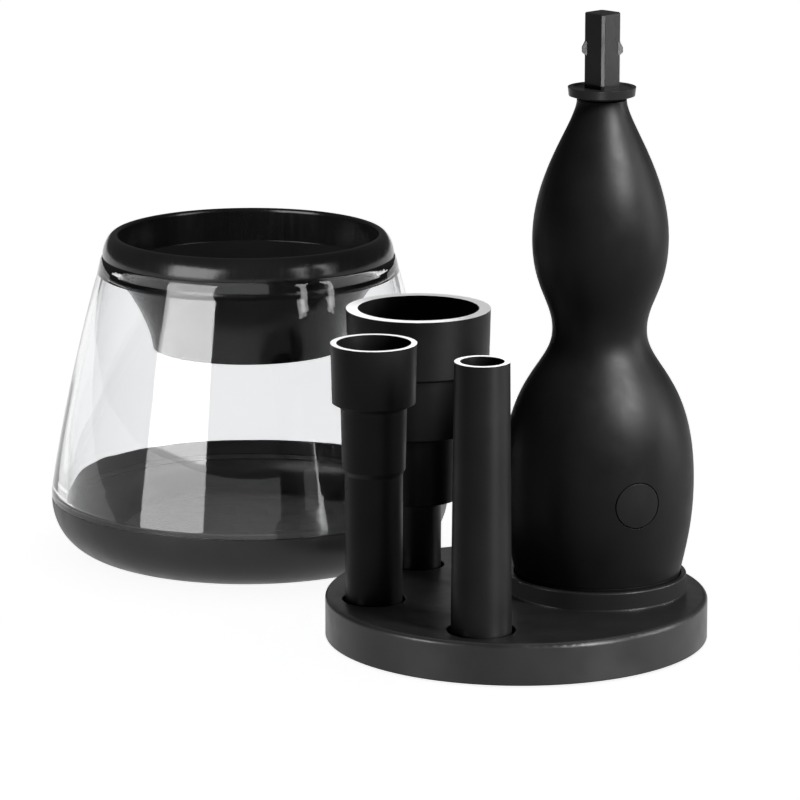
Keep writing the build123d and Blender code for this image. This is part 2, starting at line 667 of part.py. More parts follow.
# ---------------------------------------------------------------- motor
CAN_BOTTOM = MOTOR_BOTTOM + END_CAP_HEIGHT
MAGNET_RADIUS = MOTOR_RADIUS - CAN_WALL
ARMATURE_BOTTOM = CAN_BOTTOM + 3.5
SHAFT_TOP = STEM_BOTTOM + COUPLING_DEPTH - 0.5
POCKET_CIRCLE = ARMATURE_RADIUS - 2.9  # the three winding pockets of the armature
POCKET_RADIUS = 2.3

with BuildPart() as motor_can:
    disc(HANDLE_FLOOR, CAN_BOTTOM, MOTOR_RADIUS, MOTOR_TOP - CAN_BOTTOM)
    fillet(motor_can.faces().sort_by(Axis.Z)[-1].edges(), 0.8)
    disc(HANDLE_FLOOR, MOTOR_TOP, CAN_BOSS_RADIUS, CAN_BOSS_HEIGHT)
    disc(HANDLE_FLOOR, CAN_BOTTOM, MAGNET_RADIUS, MOTOR_TOP - CAN_WALL - CAN_BOTTOM, mode=Mode.SUBTRACT)
    disc(HANDLE_FLOOR, CAN_BOTTOM, MOTOR_SHAFT_RADIUS + RUNNING, OUTSIDE, mode=Mode.SUBTRACT)

with BuildPart() as motor_end_cap:
    disc(HANDLE_FLOOR, MOTOR_BOTTOM, MOTOR_RADIUS, END_CAP_HEIGHT)
    disc(HANDLE_FLOOR, MOTOR_BOTTOM + 2.0, MOTOR_RADIUS - 2.0, END_CAP_HEIGHT, mode=Mode.SUBTRACT)
    disc(HANDLE_FLOOR, MOTOR_BOTTOM, MOTOR_SHAFT_RADIUS + RUNNING, END_CAP_HEIGHT, mode=Mode.SUBTRACT)

with BuildPart() as motor_magnets:
    with BuildSketch(HANDLE_FLOOR.offset(CAN_BOTTOM + 2.0)):
        Circle(MAGNET_RADIUS)
        Circle(MAGNET_RADIUS - MAGNET_THICKNESS, mode=Mode.SUBTRACT)
        Rectangle(2 * MOTOR_RADIUS, MOTOR_RADIUS / 2, mode=Mode.SUBTRACT)
    extrude(amount=ARMATURE_HEIGHT + 3.0)

with BuildPart() as motor_armature:
    with BuildSketch(HANDLE_FLOOR.offset(ARMATURE_BOTTOM)):
        Circle(ARMATURE_RADIUS)
        Circle(MOTOR_SHAFT_RADIUS, mode=Mode.SUBTRACT)
        with PolarLocations(POCKET_CIRCLE, 3):
            Circle(POCKET_RADIUS, mode=Mode.SUBTRACT)
        with PolarLocations(ARMATURE_RADIUS, 3):
            Rectangle(3.0, 1.2, mode=Mode.SUBTRACT)
    extrude(amount=ARMATURE_HEIGHT)

with BuildPart() as motor_windings:
    with BuildSketch(HANDLE_FLOOR.offset(ARMATURE_BOTTOM - 1.5)):
        with PolarLocations(POCKET_CIRCLE, 3):
            Circle(POCKET_RADIUS - 0.1)
    extrude(amount=ARMATURE_HEIGHT + 3.0)

with BuildPart() as motor_shaft:
    disc(HANDLE_FLOOR, MOTOR_BOTTOM - 0.5, MOTOR_SHAFT_RADIUS, SHAFT_TOP - MOTOR_BOTTOM + 0.5)

with BuildPart() as motor_commutator:
    ring(HANDLE_FLOOR, MOTOR_BOTTOM + 2.4, COMMUTATOR_RADIUS, MOTOR_SHAFT_RADIUS, 3.0)

with BuildPart() as motor_terminals:
    with BuildSketch(HANDLE_FLOOR.offset(MOTOR_BOTTOM - 5.0)):
        with Locations((-TERMINAL_SPACING / 2, 0), (TERMINAL_SPACING / 2, 0)):
            Rectangle(0.5, 2.0)
    extrude(amount=5.0)


def wire(points, radii):
    """An insulated wire in the active part, from point to point of the handle's own frame."""
    places = [HANDLE_FLOOR.from_local_coords(Vector(*point)) for point in points]
    with BuildLine():
        route = FilletPolyline(*places, radius=radii)
    with BuildSketch(Plane(origin=route @ 0, z_dir=route % 0)) as section:
        Circle(WIRE_RADIUS)
    sweep(section.sketch, path=route)


WIRE_LANE = -10.0  # the wires climb through the tray's notch here, in front of the axis
WIRE_SIDE = 1.4  # each wire's distance from the notch's middle
BOARD_LEAD_SIDE = 4.5  # the wires end on the board here, clear of its screws
BOARD_LEAD_HEIGHT = BUTTON_HEIGHT + BOARD_HEIGHT / 2 - 6.5
TAG_TOP = TRAY_FLANGE_TOP + 1.5 + WIRE_RADIUS
BOARD_BACK = -(BOARD_FRONT - BOARD_THICKNESS)
TERMINAL_FOOT = MOTOR_BOTTOM - 5.0

with BuildPart() as battery_lead_black:
    wire(
        [
            (-CELL_SPACING / 2, 0, TAG_TOP),
            (-CELL_SPACING / 2, -4, TAG_TOP + 3),
            (-WIRE_SIDE, WIRE_LANE, TAG_TOP + 2),
            (-WIRE_SIDE, WIRE_LANE, TRAY_TOP - 4),
            (-BOARD_LEAD_SIDE, BOARD_BACK + WIRE_RADIUS, BOARD_LEAD_HEIGHT),
        ],
        [2.5, 2.5, 2.5],
    )

with BuildPart() as motor_lead_black:
    wire(
        [
            (BOARD_LEAD_SIDE, BOARD_BACK + WIRE_RADIUS, BOARD_LEAD_HEIGHT),
            (WIRE_SIDE, WIRE_LANE, TRAY_TOP - 4),
            (WIRE_SIDE, WIRE_LANE, TAG_TOP + 6),
            (-4.0, -5.0, WAIST_HEIGHT - 4),
            (-TERMINAL_SPACING / 2, 0, TERMINAL_FOOT - 10),
            (-TERMINAL_SPACING / 2, 0, TERMINAL_FOOT),
        ],
        [3.0, 12.0, 12.0, 5.0],
    )

with BuildPart() as motor_lead_red:
    wire(
        [
            (CELL_SPACING / 2, 0, TAG_TOP),
            (CELL_SPACING / 2, -1, TAG_TOP + 8),
            (5.0, -2.0, WAIST_HEIGHT - 4),
            (TERMINAL_SPACING / 2, 0, TERMINAL_FOOT - 10),
            (TERMINAL_SPACING / 2, 0, TERMINAL_FOOT),
        ],
        [12.0, 12.0, 5.0],
    )

# ---------------------------------------------------------------- spindle and its bearing
SEAL_BOTTOM = NECK_HEIGHT - SEAL_THICKNESS
FLANGE_BOTTOM = NECK_HEIGHT + SPINDLE_GAP
DRIVE_BOTTOM = FLANGE_BOTTOM + FLANGE_THICKNESS

with BuildPart() as spindle_bush:
    ring(HANDLE_FLOOR, BUSH_BOTTOM, BUSH_RADIUS, STEM_RADIUS + RUNNING, SEAL_BOTTOM - BUSH_BOTTOM)

with BuildPart() as shaft_seal:
    ring(HANDLE_FLOOR, SEAL_BOTTOM, BUSH_RADIUS, STEM_RADIUS + RUNNING, SEAL_THICKNESS)

with BuildPart() as spindle:
    disc(SPINDLE_FLOOR, STEM_BOTTOM, STEM_RADIUS, FLANGE_BOTTOM - STEM_BOTTOM)
    with BuildSketch(upright(SPINDLE_FLOOR)):
        with BuildLine():
            Polyline(
                (0, FLANGE_BOTTOM),
                (NECK_RADIUS, FLANGE_BOTTOM),
                (FLANGE_RADIUS - 0.3, FLANGE_BOTTOM + 0.9),
                (FLANGE_RADIUS, DRIVE_BOTTOM),
                (FLANGE_RADIUS - 1.2, DRIVE_BOTTOM),
                (FLANGE_RADIUS - 1.8, DRIVE_BOTTOM - 0.4),
                (0, DRIVE_BOTTOM - 0.4),
                close=True,
            )
        make_face()
    revolve(axis=centre_line(SPINDLE_FLOOR))
    with BuildSketch(SPINDLE_FLOOR.offset(DRIVE_BOTTOM - 0.4)):
        drive_square(0)
    extrude(amount=DRIVE_LENGTH + 0.4)
    chamfer(spindle.faces().sort_by(Axis.Z)[-1].edges(), length=0.35)
    detent_bottom = DRIVE_BOTTOM + DETENT_HEIGHT
    for side in (-1, 1):
        with BuildSketch(upright(SPINDLE_FLOOR)):
            with BuildLine():
                Polyline(
                    (side * (DRIVE_ACROSS / 2 - 1), detent_bottom - 0.3),
                    (side * DRIVE_ACROSS / 2, detent_bottom),
                    (side * (DRIVE_ACROSS / 2 + DETENT_REACH), detent_bottom + 0.9),
                    (side * (DRIVE_ACROSS / 2 + DETENT_REACH), detent_bottom + 2.2),
                    (side * DRIVE_ACROSS / 2, detent_bottom + DETENT_LENGTH),
                    (side * (DRIVE_ACROSS / 2 - 1), detent_bottom + DETENT_LENGTH + 0.3),
                    close=True,
                )
            make_face()
        extrude(amount=DETENT_WIDTH / 2, both=True)
    disc(SPINDLE_FLOOR, STEM_BOTTOM, MOTOR_SHAFT_RADIUS, COUPLING_DEPTH, mode=Mode.SUBTRACT)


# ---------------------------------------------------------------- collets
def turn_collet(collet):
    """Revolves and bores a collet in the active part: cups, stem, brush bores and square drive socket."""
    floor = collet.floor()
    outline = [(0, 0), (collet.foot_radius, 0)]
    below = collet.stem_top_radius
    for cup, bottom in zip(reversed(collet.cups), reversed(collet.cup_bottoms())):
        outline += [(below, bottom), (cup.radius - CUP_TAPER, bottom + STEP_CONE)]
        below = cup.radius
    outline += [(below, collet.length()), (0, collet.length())]
    with BuildSketch(upright(floor)) as half:
        with BuildLine():
            Polyline(*outline, close=True)
        make_face()
    revolve(half.sketch, axis=centre_line(floor))
    bores = [(collet.stem_bore, SOCKET_DEPTH + SOCKET_WEB)]
    bores += [(cup.bore, bottom + BORE_STEP) for cup, bottom in zip(collet.cups, collet.cup_bottoms())]
    for bore, bottom in bores:
        disc(floor, bottom, bore, collet.length(), mode=Mode.SUBTRACT)
    with BuildSketch(floor) as socket:
        drive_square(SOCKET_GAP)
    extrude(socket.sketch, amount=SOCKET_DEPTH, mode=Mode.SUBTRACT)


with BuildPart() as large_collet:
    turn_collet(LARGE)

with BuildPart() as medium_collet:
    turn_collet(MEDIUM)

with BuildPart() as small_collet:
    turn_collet(SMALL)

# ---------------------------------------------------------------- bowl
BOWL_AXIS = centre_line(BOWL_TABLE)
BOWL_FRONT = upright(BOWL_TABLE)
GROOVE_RADIUS = BOWL_RADIUS - JOINT_WIDTH
TONGUE_OUTER = GROOVE_RADIUS - 0.2
TONGUE_INNER = TONGUE_OUTER - TONGUE_WIDTH
TONGUE_BOTTOM = JOINT_HEIGHT - TONGUE_DEPTH
GASKET_BOTTOM = TONGUE_BOTTOM - GASKET_HEIGHT
LEDGE_RADIUS = GROOVE_RADIUS - LEDGE_WIDTH_INSIDE
BOWL_FOOT_OUTER = BOWL_FOOT_RADIUS - 2.0
BOWL_FOOT_INNER = BOWL_FOOT_OUTER - BOWL_FOOT_WIDTH

with BuildPart() as bowl_base:
    with BuildSketch(BOWL_FRONT):
        with BuildLine():
            Polyline((0, BOWL_LIFT), (BOWL_FOOT_RADIUS, BOWL_LIFT))
            Bezier(
                (BOWL_FOOT_RADIUS, BOWL_LIFT),
                (BOWL_FOOT_RADIUS + 0.6 * (BOWL_RADIUS - BOWL_FOOT_RADIUS), BOWL_LIFT),
                (BOWL_RADIUS, 0.42 * JOINT_HEIGHT),
                (BOWL_RADIUS, JOINT_HEIGHT),
            )
            Polyline(
                (BOWL_RADIUS, JOINT_HEIGHT),
                (GROOVE_RADIUS, JOINT_HEIGHT),
                (GROOVE_RADIUS, GASKET_BOTTOM),
                (LEDGE_RADIUS, GASKET_BOTTOM),
            )
            Bezier(
                (LEDGE_RADIUS, GASKET_BOTTOM),
                (LEDGE_RADIUS, BOWL_FLOOR + 0.35 * (GASKET_BOTTOM - BOWL_FLOOR)),
                (FLOOR_RADIUS + 0.6 * (LEDGE_RADIUS - FLOOR_RADIUS), BOWL_FLOOR),
                (FLOOR_RADIUS, BOWL_FLOOR),
            )
            Polyline((FLOOR_RADIUS, BOWL_FLOOR), (0, BOWL_FLOOR), (0, BOWL_LIFT))
        make_face()
    revolve(axis=BOWL_AXIS)
    ring(BOWL_TABLE, BOWL_LIFT, BOWL_FOOT_OUTER, BOWL_FOOT_INNER, BOWL_FOOT_SUNK, mode=Mode.SUBTRACT)

with BuildPart() as bowl_foot_ring:
    ring(BOWL_TABLE, 0, BOWL_FOOT_OUTER, BOWL_FOOT_INNER, BOWL_LIFT + BOWL_FOOT_SUNK)

with BuildPart() as bowl_gasket:
    ring(BOWL_TABLE, GASKET_BOTTOM, TONGUE_OUTER, TONGUE_INNER, GASKET_HEIGHT)

with BuildPart() as scrub_mat:
    disc(BOWL_TABLE, BOWL_FLOOR, MAT_RADIUS, MAT_THICKNESS)

with BuildPart() as bowl_wall:
    side_foot = JOINT_HEIGHT + 2.0
    side_middle = (side_foot + WALL_SHOULDER_HEIGHT) / 2
    bowed_radius = (BOWL_RADIUS + WALL_SHOULDER_RADIUS) / 2 + WALL_BULGE
    inner_shoulder = WALL_SHOULDER_RADIUS - WALL_THICKNESS
    with BuildSketch(BOWL_FRONT):
        with BuildLine():
            Polyline(
                (TONGUE_INNER, TONGUE_BOTTOM),
                (TONGUE_OUTER, TONGUE_BOTTOM),
                (TONGUE_OUTER, JOINT_HEIGHT),
                (BOWL_RADIUS, JOINT_HEIGHT),
                (BOWL_RADIUS, side_foot),
            )
            ThreePointArc(
                (BOWL_RADIUS, side_foot),
                (bowed_radius, side_middle),
                (WALL_SHOULDER_RADIUS, WALL_SHOULDER_HEIGHT),
            )
            Bezier(
                (WALL_SHOULDER_RADIUS, WALL_SHOULDER_HEIGHT),
                (WALL_SHOULDER_RADIUS - 0.8, WALL_SHOULDER_HEIGHT + 3.2),
                (WALL_MOUTH_RADIUS + 3.6, WALL_TOP_HEIGHT),
                (WALL_MOUTH_RADIUS + 2.4, WALL_TOP_HEIGHT),
            )
            Polyline(
                (WALL_MOUTH_RADIUS + 2.4, WALL_TOP_HEIGHT),
                (WALL_MOUTH_RADIUS, WALL_TOP_HEIGHT),
                (WALL_MOUTH_RADIUS, WALL_SHOULDER_HEIGHT + 1.0),
                (inner_shoulder, WALL_SHOULDER_HEIGHT - 1.0),
            )
            ThreePointArc(
                (inner_shoulder, WALL_SHOULDER_HEIGHT - 1.0),
                (bowed_radius - WALL_THICKNESS, side_middle),
                (TONGUE_INNER, side_foot),
            )
            Line((TONGUE_INNER, side_foot), (TONGUE_INNER, TONGUE_BOTTOM))
        make_face()
    revolve(axis=BOWL_AXIS)

PLUG_RADIUS = WALL_MOUTH_RADIUS - SLIP
PLUG_BOTTOM = WALL_TOP_HEIGHT - PLUG_DEPTH
FUNNEL_BEND = 0.45  # how far down the funnel its steepening lies

with BuildPart() as splash_ring:
    funnel_drop = PLUG_BOTTOM - THROAT_HEIGHT
    bend_height = PLUG_BOTTOM - FUNNEL_BEND * funnel_drop
    outer_bend = PLUG_RADIUS - 0.66 * (PLUG_RADIUS - THROAT_RADIUS - FUNNEL_WALL)
    inner_bend = RIM_INNER_RADIUS - 0.70 * (RIM_INNER_RADIUS - THROAT_RADIUS)
    with BuildSketch(BOWL_FRONT):
        with BuildLine():
            Polyline((THROAT_RADIUS, THROAT_HEIGHT), (THROAT_RADIUS + FUNNEL_WALL, THROAT_HEIGHT))
            ThreePointArc(
                (THROAT_RADIUS + FUNNEL_WALL, THROAT_HEIGHT),
                (outer_bend, bend_height),
                (PLUG_RADIUS, PLUG_BOTTOM),
            )
            Polyline(
                (PLUG_RADIUS, PLUG_BOTTOM),
                (PLUG_RADIUS, WALL_TOP_HEIGHT),
                (RIM_OUTER_RADIUS, WALL_TOP_HEIGHT),
            )
            Bezier(
                (RIM_OUTER_RADIUS, WALL_TOP_HEIGHT),
                (RIM_OUTER_RADIUS + 0.1, WALL_TOP_HEIGHT + 3.4),
                (RIM_INNER_RADIUS + 3.2, RIM_TOP_HEIGHT),
                (RIM_INNER_RADIUS + 1.2, RIM_TOP_HEIGHT),
            )
            Bezier(
                (RIM_INNER_RADIUS + 1.2, RIM_TOP_HEIGHT),
                (RIM_INNER_RADIUS + 0.3, RIM_TOP_HEIGHT),
                (RIM_INNER_RADIUS, RIM_TOP_HEIGHT - 0.4),
                (RIM_INNER_RADIUS, RIM_TOP_HEIGHT - 1.2),
            )
            Polyline((RIM_INNER_RADIUS, RIM_TOP_HEIGHT - 1.2), (RIM_INNER_RADIUS, PLUG_BOTTOM + 1.0))
            ThreePointArc(
                (RIM_INNER_RADIUS, PLUG_BOTTOM + 1.0),
                (inner_bend, bend_height + 0.5),
                (THROAT_RADIUS, THROAT_HEIGHT),
            )
        make_face()
    revolve(axis=BOWL_AXIS)

# ---------------------------------------------------------------- the finished pieces
PIECES = {
    "stand_top": stand_top,
    "stand_cover": stand_cover,
    "stand_foot_ring": stand_foot_ring,
    "stand_ballast": stand_ballast,
    "stand_cover_screws": stand_cover_screws,
    "handle_front_shell": handle_front_shell,
    "handle_rear_shell": handle_rear_shell,
    "housing_screws": housing_screws,
    "battery_tray": battery_tray,
    "battery_cells": battery_cells,
    "positive_contact": positive_contact,
    "negative_contact": negative_contact,
    "battery_cap": battery_cap,
    "cap_seal": cap_seal,
    "cap_contact": cap_contact,
    "cap_spring": cap_spring,
    "power_button": power_button,
    "switch_plunger": switch_plunger,
    "tact_switch": tact_switch,
    "switch_board": switch_board,
    "board_screws": board_screws,
    "motor_can": motor_can,
    "motor_end_cap": motor_end_cap,
    "motor_magnets": motor_magnets,
    "motor_armature": motor_armature,
    "motor_windings": motor_windings,
    "motor_shaft": motor_shaft,
    "motor_commutator": motor_commutator,
    "motor_terminals": motor_terminals,
    "battery_lead_black": battery_lead_black,
    "motor_lead_black": motor_lead_black,
    "motor_lead_red": motor_lead_red,
    "spindle_bush": spindle_bush,
    "shaft_seal": shaft_seal,
    "spindle": spindle,
    "large_collet": large_collet,
    "medium_collet": medium_collet,
    "small_collet": small_collet,
    "bowl_base": bowl_base,
    "bowl_foot_ring": bowl_foot_ring,
    "bowl_gasket": bowl_gasket,
    "scrub_mat": scrub_mat,
    "bowl_wall": bowl_wall,
    "splash_ring": splash_ring,
}

os.makedirs("parts", exist_ok=True)
for name, piece in PIECES.items():
    piece.part.label = name
    export_step(piece.part, f"parts/{name}.step")
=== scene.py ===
"""Looks for the brush cleaner: camera, soft studio light, pale floor, materials and the bowl's mat."""

from math import cos, hypot, pi, radians, sin, tau

import bpy
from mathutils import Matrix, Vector


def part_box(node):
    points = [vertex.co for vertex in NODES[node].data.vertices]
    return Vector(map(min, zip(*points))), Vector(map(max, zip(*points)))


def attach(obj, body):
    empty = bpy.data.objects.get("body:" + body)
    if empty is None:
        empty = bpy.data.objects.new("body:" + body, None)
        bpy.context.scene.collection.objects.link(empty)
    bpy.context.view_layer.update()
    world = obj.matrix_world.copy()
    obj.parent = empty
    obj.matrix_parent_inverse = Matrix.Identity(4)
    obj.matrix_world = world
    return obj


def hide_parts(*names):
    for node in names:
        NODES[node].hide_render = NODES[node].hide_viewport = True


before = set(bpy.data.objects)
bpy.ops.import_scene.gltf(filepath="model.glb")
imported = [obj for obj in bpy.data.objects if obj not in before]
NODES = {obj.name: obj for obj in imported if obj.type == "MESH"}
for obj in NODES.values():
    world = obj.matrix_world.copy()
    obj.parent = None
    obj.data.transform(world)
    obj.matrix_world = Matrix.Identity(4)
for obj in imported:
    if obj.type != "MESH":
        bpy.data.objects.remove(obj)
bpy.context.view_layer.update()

# ---------------------------------------------------------------- camera
CAMERA_PLACE = Vector((-0.0374, -1.4446, 0.4108))
CAMERA_PITCH = radians(13.0)  # looking down
CAMERA_SENSOR = 36.0  # mm across
CAMERA_LENS = 209.25  # mm
CAMERA_REACH = 20.0  # nothing further off is drawn


def add_camera():
    """A long lens in front of the stand, level from side to side and looking a little down."""
    data = bpy.data.cameras.new("camera")
    data.sensor_width = CAMERA_SENSOR
    data.lens = CAMERA_LENS
    data.clip_end = CAMERA_REACH
    camera = bpy.data.objects.new("camera", data)
    camera.location = CAMERA_PLACE
    camera.rotation_euler = (pi / 2 - CAMERA_PITCH, 0, 0)
    bpy.context.scene.collection.objects.link(camera)
    bpy.context.scene.camera = camera


# ---------------------------------------------------------------- lights
STUDIO_HEART = Vector((-0.03, 0.04, 0.09))  # what the lights point at
HANDLE_PIECES = "handle_front_shell handle_rear_shell battery_cap power_button spindle "
COLLET_PIECES = "large_collet medium_collet small_collet "
CEILING_PIECES = "stand_top scaled_mat bowl_base "
BOWL_PIECES = "bowl_wall splash_ring bowl_base bowl_gasket scaled_mat"
WORLD_STRENGTH = 0.16
WORLD_FLOOR = (0.42, 0.42, 0.43)  # the dim studio's colour below
WORLD_CEILING = (0.85, 0.86, 0.88)  # and above


def node_group(name, pieces):
    """A collection of nodes that a light is limited to."""
    group = bpy.data.collections.new(name)
    for piece in pieces.split():
        group.objects.link(bpy.data.objects[piece])
    return group


def add_softbox(name, turn, distance, height, width, length, power, lit, blockers=""):
    """An area light for the nodes in lit, its turn in degrees to the right of the camera's side.

    Every piece throws a shadow in its light, unless blockers names the only ones that do.
    """
    data = bpy.data.lights.new(name, "AREA")
    data.shape = "RECTANGLE"
    data.size = width
    data.size_y = length
    data.energy = power
    light = bpy.data.objects.new(name, data)
    bearing = radians(turn)
    light.location = STUDIO_HEART + Vector((distance * sin(bearing), -distance * cos(bearing), height))
    aim = STUDIO_HEART - light.location
    light.rotation_euler = aim.to_track_quat("-Z", "Y").to_euler()
    bpy.context.scene.collection.objects.link(light)
    light.light_linking.receiver_collection = node_group(name + "_lit", lit)
    if blockers:
        light.light_linking.blocker_collection = node_group(name + "_blockers", blockers)


def add_lights():
    """A high key for the handle, strips for the collets and the stand, a glint, two windows, a ceiling.

    The handle and the collets don't block the windows, so that the clear wall mirrors them whole.
    """
    add_softbox("handle_key", 50, 1.1, 0.88, 0.50, 0.50, 118, HANDLE_PIECES)
    add_softbox("collet_strip", 50, 1.3, 0.35, 0.26, 0.8, 50, COLLET_PIECES + "stand_top")
    add_softbox("edge_strip", 96, 1.3, 0.20, 0.20, 0.9, 16, HANDLE_PIECES + COLLET_PIECES + "stand_top")
    add_softbox("stand_strip", -56, 1.3, 0.10, 0.30, 0.5, 22, "stand_top")
    add_softbox("stand_sheen", 190, 1.4, 0.34, 0.9, 0.3, 0.45, "stand_top", "stand_top")
    add_softbox("spindle_glint", 0, 0.9, -0.08, 0.22, 0.14, 24, "spindle")
    add_softbox("bowl_window_left", -46, 1.5, 0.45, 1.1, 1.0, 30, BOWL_PIECES, BOWL_PIECES)
    add_softbox("bowl_window_right", 56, 1.5, 0.45, 0.8, 1.0, 15, BOWL_PIECES, BOWL_PIECES)
    add_softbox("ceiling", 180, 0.35, 1.5, 1.6, 1.2, 12, HANDLE_PIECES + COLLET_PIECES + CEILING_PIECES)


def light_world():
    """A dim studio: paler towards the ceiling, so that upper faces catch a soft light."""
    world = bpy.data.worlds.new("studio")
    world.use_nodes = True
    bpy.context.scene.world = world
    tree = world.node_tree
    place = tree.nodes.new("ShaderNodeTexCoord")
    split = tree.nodes.new("ShaderNodeSeparateXYZ")
    ramp = tree.nodes.new("ShaderNodeValToRGB")
    low, high = ramp.color_ramp.elements
    low.position = 0.0
    low.color = (*WORLD_FLOOR, 1)
    high.position = 0.9
    high.color = (*WORLD_CEILING, 1)
    tree.links.new(place.outputs["Generated"], split.inputs[0])
    tree.links.new(split.outputs["Z"], ramp.inputs["Fac"])
    background = tree.nodes["Background"]
    tree.links.new(ramp.outputs["Color"], background.inputs["Color"])
    background.inputs["Strength"].default_value = WORLD_STRENGTH


# ---------------------------------------------------------------- material nodes
class Graph:
    """A material's node tree, with short names for the few nodes used here."""

    def __init__(self, name):
        self.material = bpy.data.materials.new(name)
        self.material.use_nodes = True
        self.tree = self.material.node_tree
        self.shader = self.tree.nodes["Principled BSDF"]
        self.place = self.tree.nodes.new("ShaderNodeTexCoord").outputs["Object"]

    def set(self, **values):
        """Sets the shader's own inputs, with their names' blanks as underscores."""
        for name, value in values.items():
            self.shader.inputs[name.replace("_", " ")].default_value = value

    def link(self, output, name):
        """Feeds one of the shader's inputs."""
        self.tree.links.new(output, self.shader.inputs[name])

    def source(self, name):
        """What feeds one of the shader's inputs now."""
        return self.shader.inputs[name].links[0].from_socket

    def stretch(self, x, y, z):
        """The object's coordinates in metres, each axis scaled."""
        mapping = self.tree.nodes.new("ShaderNodeMapping")
        mapping.inputs["Scale"].default_value = (x, y, z)
        self.tree.links.new(self.place, mapping.inputs["Vector"])
        return mapping.outputs["Vector"]

    def noise(self, scale, detail=3.0, place=None):
        """Cloudy noise, its scale in features to the metre."""
        texture = self.tree.nodes.new("ShaderNodeTexNoise")
        texture.inputs["Scale"].default_value = scale
        texture.inputs["Detail"].default_value = detail
        self.tree.links.new(place or self.place, texture.inputs["Vector"])
        return texture.outputs["Fac"]

    def cells(self, scale, place=None):
        """Distance to the nearest point of a cell pattern, its scale in cells to the metre."""
        texture = self.tree.nodes.new("ShaderNodeTexVoronoi")
        texture.inputs["Scale"].default_value = scale
        self.tree.links.new(place or self.place, texture.inputs["Vector"])
        return texture.outputs["Distance"]

    def ramp(self, value, stops):
        """A colour ramp with (position, colour) stops."""
        ramp = self.tree.nodes.new("ShaderNodeValToRGB")
        elements = ramp.color_ramp.elements
        while len(elements) < len(stops):
            elements.new(0.5)
        for element, (position, colour) in zip(elements, stops):
            element.position = position
            element.color = (*colour, 1)
        self.tree.links.new(value, ramp.inputs["Fac"])
        return ramp.outputs["Color"]

    def span(self, value, low, high, start=0.0, end=1.0):
        """A value spread from one span to another."""
        spread = self.tree.nodes.new("ShaderNodeMapRange")
        for name, number in (("From Min", start), ("From Max", end), ("To Min", low), ("To Max", high)):
            spread.inputs[name].default_value = number
        self.tree.links.new(value, spread.inputs["Value"])
        return spread.outputs["Result"]

    def maths(self, operation, first, second=0.0):
        """A sum of two values, each a socket or a plain number."""
        worked = self.tree.nodes.new("ShaderNodeMath")
        worked.operation = operation
        for socket, value in zip(worked.inputs, (first, second)):
            if isinstance(value, float):
                socket.default_value = value
            else:
                self.tree.links.new(value, socket)
        return worked.outputs[0]

    def part_of(self, vector, axis):
        """One coordinate of a vector."""
        split = self.tree.nodes.new("ShaderNodeSeparateXYZ")
        self.tree.links.new(vector, split.inputs[0])
        return split.outputs[axis]

    def normal(self):
        """The surface's direction."""
        return self.tree.nodes.new("ShaderNodeNewGeometry").outputs["Normal"]

    def blend(self, share, first, second):
        """A mix of two colours, each a socket or a plain colour."""
        mix = self.tree.nodes.new("ShaderNodeMix")
        mix.data_type = "RGBA"
        self.tree.links.new(share, mix.inputs["Factor"])
        for name, colour in (("A", first), ("B", second)):
            socket = [s for s in mix.inputs if s.name == name and s.type == "RGBA"][0]
            if isinstance(colour, tuple):
                socket.default_value = (*colour, 1)
            else:
                self.tree.links.new(colour, socket)
        return [s for s in mix.outputs if s.type == "RGBA"][0]

    def relief(self, height, depth, soften=0.0):
        """A bump of a real depth in metres, over edges rounded by a small radius."""
        bump = self.tree.nodes.new("ShaderNodeBump")
        bump.inputs["Strength"].default_value = 1.0
        bump.inputs["Distance"].default_value = depth
        self.tree.links.new(height, bump.inputs["Height"])
        if soften:
            bevel = self.tree.nodes.new("ShaderNodeBevel")
            bevel.samples = 4
            bevel.inputs["Radius"].default_value = soften
            self.tree.links.new(bevel.outputs["Normal"], bump.inputs["Normal"])
        self.link(bump.outputs["Normal"], "Normal")


# ---------------------------------------------------------------- materials
def moulded(name, colour, roughness, grain=3200.0, depth=0.000012, specular=0.15, soften=0.0003):
    """Moulded plastic: faint flow marks in its colour and sheen, a fine eroded grain, softened edges."""
    graph = Graph(name)
    darker = tuple(0.72 * c for c in colour)
    paler = tuple(1.3 * c for c in colour)
    flow = graph.noise(38.0, 4.0)
    graph.link(graph.ramp(flow, [(0.30, darker), (0.55, colour), (0.80, paler)]), "Base Color")
    wear = graph.noise(110.0, 5.0)
    graph.link(graph.span(wear, roughness - 0.05, roughness + 0.06, 0.3, 0.7), "Roughness")
    graph.relief(graph.noise(grain, 2.0), depth, soften)
    graph.set(Specular_IOR_Level=specular)
    return graph


def stand_plastic():
    """The stand's satin black plastic, coarser on the upright side of the handle's seat, where painted
    shade also darkens it.
    """
    graph = moulded("stand_black", (0.0085, 0.0085, 0.0088), 0.36, specular=0.2, soften=0.0006)
    # painted shade: upright faces above the stand's top face (the handle seat's wall) get a near-black
    # colour and a rough skin so they stay dark
    upright = graph.span(graph.part_of(graph.normal(), "Z"), 1.0, 0.0, 0.2, 0.5)
    level = graph.span(graph.part_of(graph.place, "Z"), 0.0, 1.0, STAND_LEVEL, STAND_LEVEL + 0.0004)
    shaded_seat_wall = graph.maths("MULTIPLY", upright, level)
    graph.link(graph.blend(shaded_seat_wall, graph.source("Base Color"), (0.0012, 0.0012, 0.0012)), "Base Color")
    rough = graph.span(shaded_seat_wall, 0.0, 0.95)
    graph.link(graph.maths("MAXIMUM", graph.source("Roughness"), rough), "Roughness")
    return graph


